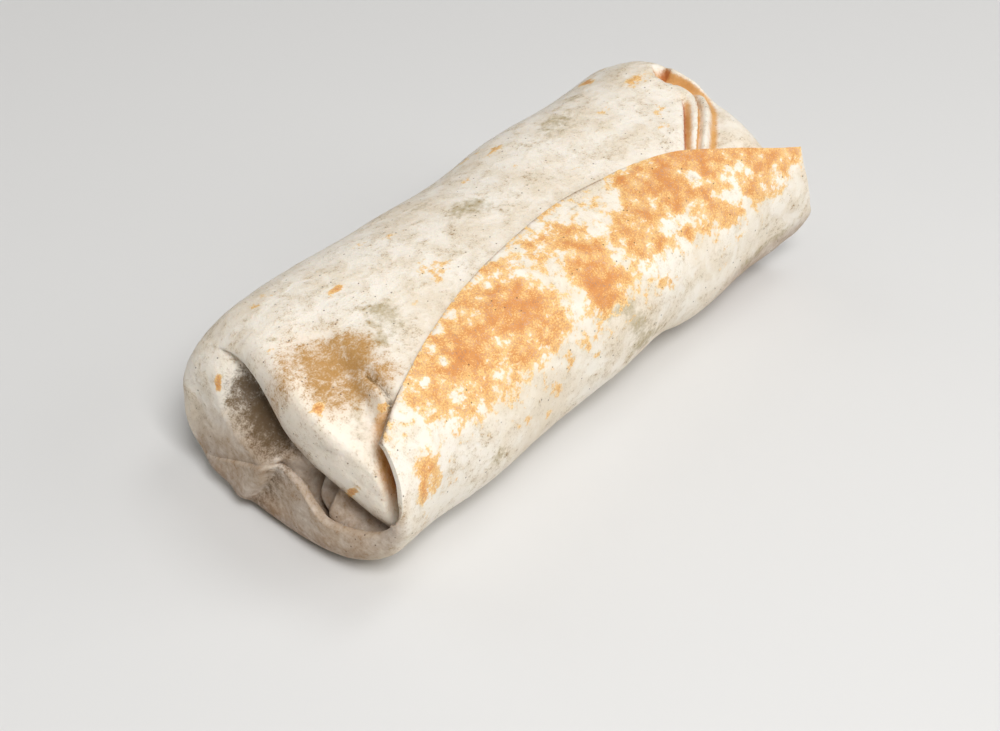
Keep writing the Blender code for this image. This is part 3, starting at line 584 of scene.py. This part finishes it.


# Toasted patches, stains and painted shade. On the flap and the top: (x, girth, half length, half width, turn,
# strength).
marks = {
    "flapToast": [  # the broad golden band, then its darker middles, then lone spots
        (-45, 25, 17, 11, 3, 0.66), (-25, 27, 10, 11, 0, 0.66), (-64, 22, 8, 6.5, 12, 0.55),
        (-74, 8, 5, 8.5, 0, 0.6), (-2, 24, 8.5, 11, 0, 0.68), (20, 27, 12, 6.5, 8, 0.62),
        (41, 30, 15, 9.5, -14, 0.7), (50, 17, 11, 7.5, 0, 0.62), (64, 21, 9, 8, -35, 0.6),
        (80, 16.5, 6, 3.4, 12, 0.85), (71, 19, 7, 4.5, -8, 0.5), (60, 14, 8, 3, -10, 0.5),
        (-3, 36, 8, 4, 0, 0.5), (-32, 37, 17, 2.6, 9, 0.42), (-50, 14, 14, 3.5, 0, 0.5),
        (-27, 15, 11, 3, 0, 0.42), (13, 18, 8, 5, 0, 0.4), (32, 22, 8, 5, 0, 0.36),
        (5, 43, 6, 1.4, 0, 0.36), (-47, 24, 7, 5, 0, 0.7), (-38, 28, 5, 4, 0, 0.5),
        (-27, 26, 8, 7, 0, 0.75), (-3, 22, 6, 8, -60, 0.85), (-3, 15, 5, 1.6, 0, 0.7),
        (62, 28, 7, 3.4, -40, 0.5), (45, 34, 9, 3.5, -18, 0.5), (41, 31, 9, 6, -20, 0.85),
        (28, 38.4, 2.6, 1.3, 0, 0.95), (37, 25, 4, 3, 0, 0.75), (22, 28, 6, 3, 15, 0.45),
        (-62, 28, 3, 1.6, 20, 0.6), (-60, 24, 2, 2.4, 0, 0.5), (52, 31, 6, 3, -35, 0.5),
        (48, 21, 4, 3, 0, 0.5), (-10, 33, 3, 1.5, 0, 0.4), (33, 16, 1.8, 2.6, 0, 0.8),
        (21.5, 18.5, 3.4, 1.4, 10, 0.85), (52, 13, 5, 1.6, 0, 0.5), (18, 9.5, 4.5, 1.6, -22, 0.6),
        (-13.2, 8, 0.9, 2.2, 0, 0.75), (-10.4, 8.5, 1, 1.2, 0, 0.65), (-10.8, 3, 0.8, 1.2, 0, 0.65),
        (-26, 2, 2.4, 1.6, -20, 0.72), (-38, 0, 1.8, 1, -20, 0.66), (-62, 10.5, 1.5, 1.2, 0, 0.5),
        (-64, -1, 1, 0.8, 0, 0.5), (-42, 0, 1, 0.8, 0, 0.5), (-40, 5, 2, 1.2, 0, 0.36),
        (44, -1, 2.6, 1, 0, 0.42), (52, 5, 1.2, 0.8, 0, 0.4), (-30, -4, 2, 1.2, 0, 0.4),
        (-20, 6, 1.4, 0.8, 0, 0.4),
    ],
    "flapClear": [  # pale bubbles and cracks left in the toast
        (46, 27.5, 3.6, 1.8, -62, 0.95), (53, 17.5, 4.6, 1.8, -35, 0.9), (-73, 17, 6, 1.5, 30, 0.95),
        (-54, 27, 1.4, 1.6, 0, 0.85), (-61, 25.5, 1.2, 1, 0, 0.8), (-68, 12, 3, 2.4, 0, 0.6),
        (-12, 23, 2.4, 6, 12, 0.75), (-10, 30, 6, 1.5, 4, 0.7), (8, 21, 2, 4, 0, 0.6),
        (30, 20.5, 7, 1.6, 0, 0.7), (30, 27.5, 4, 0.9, 15, 0.6), (-58, 19, 2, 1.6, 0, 0.6),
        (-34, 22, 1.2, 3, 0, 0.3), (-18, 33, 2.6, 1.2, 0, 0.5), (12, 31, 4, 1.2, 0, 0.6),
        (58, 13, 2.6, 1.4, 0, 0.6), (40, 21.5, 3, 1.2, 0, 0.6), (-40, 18, 3, 1, 0, 0.4),
        (60, 22, 3, 1.2, -30, 0.5),
    ],
    # painted shade in the waist's dent and low on the side, with olive stains
    "flapPaintedShadeAndOlive": [
        (-4, 12, 8, 1.8, -8, 0.75), (5, 4, 3.4, 8, 20, 0.8), (10, -4, 7, 3, 0, 0.75),
        (-50, -3, 3, 4, 0, 0.6), (66, -6, 14, 2, 5, 0.7),
    ],
    "topToast": [
        (-53, 63.5, 2.2, 1.4, 5, 0.98), (-36.5, 73, 1.8, 1.8, 0, 0.8), (-27.5, 68.5, 1.4, 1.4, 0, 0.8),
        (-32, 50.5, 3, 3.6, 40, 0.6), (-34, 47, 1.4, 1.6, 0, 0.6), (-43.5, 45, 1.2, 1.2, 0, 0.5),
        (5, 72, 1.6, 1.4, 0, 0.62), (16, 64.5, 1.6, 1.2, 0, 0.55), (21, 76, 2.4, 2.4, 0, 0.62),
        (25, 51, 1.6, 1.2, 0, 0.7), (-65, 78, 3.6, 2, 0, 0.45), (53, 63, 2.4, 1.6, 0, 0.45),
        (67, 80, 3, 3, 30, 0.62), (70, 65, 3.6, 2.4, 0, 0.5), (18, 84, 2, 3, 0, 0.5),
        (-45, 36, 1.2, 0.8, 0, 0.4), (62, 50, 4, 2, 40, 0.4), (57, 45, 2, 1.2, 0, 0.4),
        (-78, 64, 2, 1.2, 0, 0.4), (-30, 91, 4, 3, 0, 0.7), (12, 93, 5, 3, 0, 0.72),
        (44, 90, 4, 3, 20, 0.6), (-58, 92, 4, 2.6, 0, 0.62), (66, 91, 3, 2, 0, 0.6),
        (-14, -96, 4, 2.4, 0, 0.6), (36, -97, 5, 2, 0, 0.6), (-48, -97, 3, 1.6, 0, 0.55),
    ],
    "olive": [
        (-4, 61, 5, 4, -35, 0.8), (-9, 62, 4, 2.4, 0, 0.6), (0, 56, 2, 3, 0, 0.55),
        (-12, 75, 4, 2.6, 0, 0.6), (40, 70, 7, 4.4, 0, 0.75), (-17, 68, 3, 2, 0, 0.5),
        (6, 56, 2.4, 2, 0, 0.45), (-52, 48, 5, 6, 30, 0.8), (-59, 42, 4, 3, 0, 0.7),
        (-76, 65, 3, 2, 0, 0.5), (54, 76, 5, 4, 0, 0.4), (28, 90, 8, 4, 0, 0.4), (-40, 88, 7, 4, 0, 0.4),
        (0, 90, 9, 4, 0, 0.5),
    ],
    "ochre": [
        (-75, 47, 5, 9, -15, 0.9), (-68, 45, 5, 7, 0, 0.85), (-71, 36, 5, 5.5, 0, 0.75),
        (-78, 57, 4, 4, 0, 0.6), (-63.5, 45, 3, 4.5, 0, 0.65), (-66, 33, 4, 3, 0, 0.5),
        (-84, 55, 3, 5, 0, 0.4), (-80, 38, 4, 6, 0, 0.5),
    ],
    "endToast": [  # from here on the tucked end, as (across, up)
        (4.7, 5.7, 1.3, 1.6, 0, 0.75), (19.5, 4.6, 1.3, 1.5, 0, 0.7), (10.9, -14.4, 1.2, 1.0, 20, 0.9),
        (-18.7, 14.3, 0.8, 2.5, -8, 0.85),
    ],
    "endOlive": [
        (16, -3, 3, 8, 0, 0.4), (9, 12, 5, 5, 0, 0.5), (13, 3, 2.4, 7, 0, 0.55),
    ],
    # painted warm shade in the gap under the flap's near edge
    "endGapPaintedWarmShade": [
        (20.2, -9, 9, 3.2, -86, 0.85), (19, 1, 1.6, 4, -20, 0.6),
    ],
    # painted shadow in that gap, nearer the flap's edge
    "endGapPaintedShadow": [
        (21.6, -8, 9, 1.7, -86, 0.8),
    ],
    "farToast": [  # on the far face, as (y, z)
        (-12, 31, 4, 1.6, -24, 0.75), (15, 15, 2, 3.4, 30, 0.7), (24, 24, 2.4, 1.4, 0, 0.6),
        (-18, 14, 3, 2, 0, 0.5),
    ],
}

rollGirth = girth(rollAngle)
rollOffset = rollPoints - foldCentre
rollAcross, rollUp = rollOffset @ acrossWay, rollOffset @ upWay
onTuck = ease(rollFacing, 0.1, 0.4) * ease(-rollPoints[:, 0], 60, 70)
rollX = rollPoints[:, 0]
onFar = ease(rollX, 75, 79) * (rollPoints[:, 2] < 40)
onEnd = ease(-rollX, 68, 80) * (1 - rollTongue)


def endMarks(name):
    return onTuck * blobs(marks[name], rollAcross, rollUp)


farToast = onFar * blobs(marks["farToast"], rollPoints[:, 1], rollPoints[:, 2])
rollMarks = {
    "toast": np.max([blobs(marks["topToast"], rollX, rollGirth), endMarks("endToast"), farToast], axis=0),
    "olive": np.maximum(blobs(marks["olive"], rollX, rollGirth), endMarks("endOlive")),
    "ochre": blobs(marks["ochre"], rollX, rollGirth),
    # orange toast at the far end, and painted warm shade in its slit and in the gap under the flap's near edge
    "orange": np.maximum(rollOrangeAndPaintedShade, endMarks("endGapPaintedWarmShade")),
    # painted shade and stain in the hollow, painted shadow under the tongue's edge and beside the hem
    "dark": rollPaintedShadeAndStain,
    # painted shade in the far end's slit and tuck creases, a brown spot in its recess, and painted shadow in
    # the gap under the flap
    "brown": np.maximum(rollShade, endMarks("endGapPaintedShadow")),
    # painted light: the tongue lighter, standing in for the light on its upward face
    "paintedTongueLight": rollTongue,
    # painted shade over the lower tucked end beside the tongue, darker towards the bottom
    "paintedShade": onEnd * (1 - ease(rollUp, -4, 15)) * (1 - 0.3 * ease(rollPoints[:, 2], 4, 18)),
}
for name, values in rollMarks.items():
    addMark(filledRoll, name, values)

wrapGirth = girth(wrapAngle)
flapToast = blobs(marks["flapToast"], wrapFlatX, wrapGirth)
flapToast *= 1 - 0.9 * blobs(marks["flapClear"], wrapFlatX, wrapGirth)
flapToast *= 1 - ease(wrapCurl, 0, 0.6)
fromEdge = girth(flapAngle(wrapFlatX)) - wrapGirth
# painted shadow beside the flap's free edge
edgePaintedShadow = hump(fromEdge, 0.5) * (1 - ease(wrapFlatX, 20, 60))
# painted shade in the valley of the lip's pleat
besidePleat, _, _ = beside(folds["lipPleat"], wrapPoints[:, 1], wrapPoints[:, 2])
pleatPaintedShade = ease(-besidePleat, -0.3, 1.2) * hump(np.clip(-besidePleat, 0, None), 5)
pleatPaintedShade *= ease(-wrapPoints[:, 0], 72, 84)
# painted shade inside the lip, darker towards the bottom
lipPaintedShade = ease(wrapCurl, 0.0, 1.2) * (1 - ease(wrapAngle, -5, 25)) * (1 - 0.3 * ease(wrapPoints[:, 2], 3, 14))
# painted shade low on the far part of the flap's side
lowPaintedShade = 0.7 * ease(-wrapGirth, 3, 9) * ease(wrapFlatX, 35, 60)
wrapMarks = {
    "toast": flapToast,
    # painted shade in the waist's dent and low on the side, with olive stains
    "olive": blobs(marks["flapPaintedShadeAndOlive"], wrapFlatX, wrapGirth),
    "orange": hump(wrapFlatX - 70, 7) * hump(fromEdge, 1.4) * (wrapFlatX < 80),
    # painted shadow along the flap's edge and painted shade in the lip's pleat
    "dark": np.maximum(0.35 * edgePaintedShadow, 0.6 * pleatPaintedShade),
    # painted shade inside the lip, along the flap's edge and low on the side
    "paintedShade": np.max([lipPaintedShade, 0.85 * edgePaintedShadow, lowPaintedShade], axis=0),
}
for name, values in wrapMarks.items():
    addMark(wrap, name, values)
finishWrap(wrap)
print("marks painted")


class Wire:
    # one output of a shader graph, so that maths on it reads as plain arithmetic
    def __init__(self, graph, socket):
        self.graph = graph
        self.socket = socket

    def maths(self, operation, first, second):
        return self.graph.add("ShaderNodeMath", {"operation": operation}, {0: first, 1: second})

    def __add__(self, other):
        return self.maths("ADD", self, other)

    def __sub__(self, other):
        return self.maths("SUBTRACT", self, other)

    def __mul__(self, other):
        return self.maths("MULTIPLY", self, other)

    def __radd__(self, other):
        return self.maths("ADD", other, self)

    def __rsub__(self, other):
        return self.maths("SUBTRACT", other, self)

    def __rmul__(self, other):
        return self.maths("MULTIPLY", other, self)


class Graph:
    # the nodes of a material or of the surroundings, which start as one shader
    def __init__(self, owner, shader="Principled BSDF"):
        owner.use_nodes = True
        self.tree = owner.node_tree
        self.sockets = self.tree.nodes[shader].inputs

    def add(self, kind, settings, sockets, output=0):
        node = self.tree.nodes.new(kind)
        for name, value in settings.items():
            setattr(node, name, value)
        for name, value in sockets.items():
            self.feed(node.inputs[name], value)
        return Wire(self, node.outputs[output])

    def feed(self, socket, value):
        if isinstance(value, Wire):
            self.tree.links.new(value.socket, socket)
        else:
            socket.default_value = value


def colour(red, green, blue):
    # screen values of 0 to 255 as the linear colour that a socket takes
    parts = [value / 255 for value in (red, green, blue)]
    return tuple(part / 12.92 if part < 0.04045 else ((part + 0.055) / 1.055) ** 2.4 for part in parts) + (1,)


def blend(graph, factor, first, second):
    return graph.add("ShaderNodeMix", {"data_type": "RGBA"}, {0: factor, 6: first, 7: second}, 2)


def smooth(graph, value, low, high):
    limits = {"Value": value, "From Min": low, "From Max": high}
    return graph.add("ShaderNodeMapRange", {"interpolation_type": "SMOOTHSTEP"}, limits)


tortillaShades = {
    "flour": (239, 231, 218),
    # painted light for the tongue
    "paintedTongueLight": (250, 238, 221),
    # painted shade for the lower tucked end, the lip, the flap's edge and the low side
    "paintedShade": (146, 113, 85),
    "cream": (228, 215, 195),
    "beige": (198, 183, 158),
    # olive stains, and painted shade in the flap's waist
    "olive": (168, 152, 114),
    "ochre": (182, 136, 72),
    "wash": (241, 214, 166),
    "golden": (234, 190, 123),
    "toast": (211, 142, 76),
    # deep toast, and painted shade in the far end's slit and tucks and in the gap under the flap
    "brown": (170, 92, 40),
    "pin": (78, 54, 36),
    # orange toast, and painted warm shade in the far end's slit and in the gap under the flap
    "orange": (208, 150, 72),
    # painted shade and stain in the hollow; painted shadow under the tongue's edge, by the hem, along the
    # flap's edge and in the lip's pleat
    "dark": (92, 68, 34),
}

tortillaFinish = {
    "roughness": 0.62,
    "toastGloss": 0.1,  # toasted skin is smoother by this
    "specular": 0.35,
    "subsurface": 0.12,
    "subsurfaceReach": (3.0, 2.0, 1.2),
    "bumpStrength": 0.75,
    "bumpDepth": 0.45,
    "blotchSize": 3.6,
    "pinSpacing": 3,
    "stainsAndPaintedShade": {  # ochre is a stain; orange, dark and brown are stains and painted shade. How ragged the edge is, where each begins and is full, how strong it is
        "ochre": (1.4, 0.2, 1.04, 0.93),
        "orange": (0.4, 0.15, 0.95, 0.9),
        "dark": (1.0, 0.12, 1.0, 0.9),
        "brown": (0.5, 0.15, 0.9, 0.85),
    },
    "grains": {  # size, detail, roughness, distortion
        "broad": (22, 3, 0.55, 0.0),
        "middle": (6, 4, 0.6, 0.4),
        "fine": (1.6, 4, 0.65, 0.0),
        "dust": (0.45, 2, 0.55, 0.0),
    },
}


def tortillaMaterial(look, finish):
    material = bpy.data.materials.new("flourTortilla")
    graph = Graph(material)
    place = graph.add("ShaderNodeTexCoord", {}, {}, "Object")

    def grain(name):
        size, detail, roughness, distortion = finish["grains"][name]
        sockets = {"Vector": place, "Scale": 1 / (size * mm), "Detail": detail,
                   "Roughness": roughness, "Distortion": distortion}
        return graph.add("ShaderNodeTexNoise", {}, sockets, "Fac")

    def cells(size):
        return graph.add("ShaderNodeTexVoronoi", {}, {"Vector": place, "Scale": 1 / (size * mm)}, "Distance")

    def mark(name):
        return graph.add("ShaderNodeAttribute", {"attribute_name": name}, {}, "Fac")

    shades = {name: colour(*value) for name, value in look.items()}
    broad, middle, fine, dust = map(grain, ("broad", "middle", "fine", "dust"))
    toast, olive, ochre, paintedTongueLight, paintedShade = map(mark, ("toast", "olive", "ochre", "paintedTongueLight", "paintedShade"))

    dough = blend(graph, smooth(graph, broad * 0.5 + middle * 0.5, 0.4, 0.6), shades["flour"], shades["cream"])
    speckle = smooth(graph, fine * 0.55 + dust * 0.45 + (middle - 0.5) * 0.6, 0.44, 0.8)
    dough = blend(graph, speckle * 0.8, dough, shades["beige"])
    # painted light: the tongue lighter
    dough = blend(graph, paintedTongueLight * 0.6, dough, shades["paintedTongueLight"])
    # painted shade, mottled
    paintedShadeMottle = smooth(graph, middle * 0.6 + fine * 0.6, 0.1, 0.74)
    dough = blend(graph, paintedShade * paintedShadeMottle * 0.92, dough, shades["paintedShade"])
    # olive stains, and painted shade on the flap's waist
    oliveStainAndPaintedShade = smooth(graph, olive * 0.9 + (middle - 0.5) * 1.3 + (fine - 0.5) * 1.2, 0.25, 0.95)
    dough = blend(graph, oliveStainAndPaintedShade * 0.75, dough, shades["olive"])
    rough = (middle - 0.5) * 0.9 + (fine - 0.5) * 1.2 + (dust - 0.5) * 0.9
    dough = blend(graph, smooth(graph, ochre, 0, 0.9) * 0.33, dough, shades["ochre"])
    # stains, and painted shade carried by orange, dark and brown
    for name, (ragged, low, high, share) in finish["stainsAndPaintedShade"].items():
        stainAndPaintedShade = smooth(graph, mark(name) + rough * ragged, low, high)
        dough = blend(graph, stainAndPaintedShade * share, dough, shades[name])

    # the heat of the pan decides where toast shows and how dark it is
    blotch = cells(finish["blotchSize"])
    heat = toast + (middle - 0.5) * 1.2 + (blotch - 0.6) * 0.6 + (fine - 0.5) * 1.7
    grains = smooth(graph, fine * 0.4 + dust * 0.6, 0.5, 0.66)
    shade = heat + (dust - 0.5) * 1.7 + (0.5 - fine) * 1.2
    amount = smooth(graph, heat, 0.24, 0.54) * smooth(graph, toast, 0.03, 0.15) * (1 - grains * 0.4)
    baked = blend(graph, smooth(graph, shade, 0.15, 0.5), shades["wash"], shades["golden"])
    baked = blend(graph, smooth(graph, shade, 0.45, 0.95), baked, shades["toast"])
    baked = blend(graph, smooth(graph, shade, 1.0, 1.6), baked, shades["brown"])
    dough = blend(graph, amount, dough, baked)

    pins = 1 - smooth(graph, cells(finish["pinSpacing"]), 0.05, 0.1)
    dough = blend(graph, pins * 0.75, dough, shades["pin"])

    relief = {
        "Height": fine * 0.6 + dust * 0.35 + middle * 1.5,
        "Strength": finish["bumpStrength"],
        "Distance": finish["bumpDepth"] * mm,
    }
    surface = {
        "Base Color": dough,
        "Normal": graph.add("ShaderNodeBump", {}, relief),
        "Roughness": finish["roughness"] - amount * finish["toastGloss"],
        "Subsurface Weight": finish["subsurface"],
        "Subsurface Radius": [reach * mm for reach in finish["subsurfaceReach"]],
        "Subsurface Scale": 1.0,
        "Specular IOR Level": finish["specular"],
    }
    for name, value in surface.items():
        graph.feed(graph.sockets[name], value)
    return material


tortilla = tortillaMaterial(tortillaShades, tortillaFinish)
for piece in (filledRoll, wrap):
    piece.data.materials.clear()
    piece.data.materials.append(tortilla)
    piece.data.shade_smooth()
    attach(piece, "root")
    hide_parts("tortilla_wrap")
print("tortilla material made")

studio = {
    "floor": (0.685, 0.68, 0.67),
    "floorRoughness": 0.7,
    "backdropRise": 2.6,  # metres that the floor sweeps up all round, between these two distances
    "backdropReach": (1.5, 4.5),
    "overhead": (1.0, 0.985, 0.96),
    "overheadStrength": 0.28,
    "horizonShare": 0.05,  # how bright the surroundings are at the horizon, against overhead
    "lights": [  # place and size in metres, power in watts
        ((0.5, -0.15, 1.1), 0.4, 2.3),
        ((-0.34, -0.6, 1.0), 0.45, 11.2),
        ((0.7, -1.0, 0.6), 0.8, 4.2),
        ((-0.2, 0.95, 0.85), 0.7, 1.8),
    ],
    "target": (-21.3, -15.34, 20.0),
    "distance": 498.75,
    "back": (-0.5825, -0.4975, 0.6428),  # from the target towards the camera
    "lens": 70,
}

bpy.ops.object.select_all(action="DESELECT")
bpy.ops.mesh.primitive_grid_add(x_subdivisions=80, y_subdivisions=80, size=9)
floor = newPiece()
floor.name = "floor"
floorPoints = verticesOf(floor)
fromMiddle = np.hypot(floorPoints[:, 0], floorPoints[:, 1])
floorPoints[:, 2] = studio["backdropRise"] * ease(fromMiddle, *studio["backdropReach"])
floor.data.vertices.foreach_set("co", floorPoints.ravel())
floor.data.shade_smooth()
paleFloor = bpy.data.materials.new("paleFloor")
floorGraph = Graph(paleFloor)
floorGraph.feed(floorGraph.sockets["Base Color"], studio["floor"] + (1,))
floorGraph.feed(floorGraph.sockets["Roughness"], studio["floorRoughness"])
floor.data.materials.append(paleFloor)

world = bpy.data.worlds.new("studio")
bpy.context.scene.world = world
sky = Graph(world, "Background")
outwards = sky.add("ShaderNodeTexCoord", {}, {}, "Generated")
upwards = sky.add("ShaderNodeSeparateXYZ", {}, {"Vector": outwards}, "Z")
brightest = studio["overheadStrength"]
glow = {"Value": upwards, "To Min": studio["horizonShare"] * brightest, "To Max": brightest}
sky.feed(sky.sockets["Strength"], sky.add("ShaderNodeMapRange", {}, glow))
sky.feed(sky.sockets["Color"], studio["overhead"] + (1,))
for place, size, power in studio["lights"]:
    bpy.ops.object.light_add(type="AREA", location=place)
    lamp = bpy.context.object
    lamp.data.size = size
    lamp.data.energy = power
    lamp.rotation_euler = Vector(place).to_track_quat("Z", "Y").to_euler()

back = Vector(studio["back"]).normalized()
bpy.ops.object.camera_add(location=(Vector(studio["target"]) + back * studio["distance"]) * mm)
camera = bpy.context.object
camera.rotation_euler = back.to_track_quat("Z", "Y").to_euler()
camera.data.lens = studio["lens"]
camera.data.sensor_width = 36  # millimetres
bpy.context.scene.camera = camera
bpy.context.scene.view_settings.view_transform = "Standard"
print("studio set")
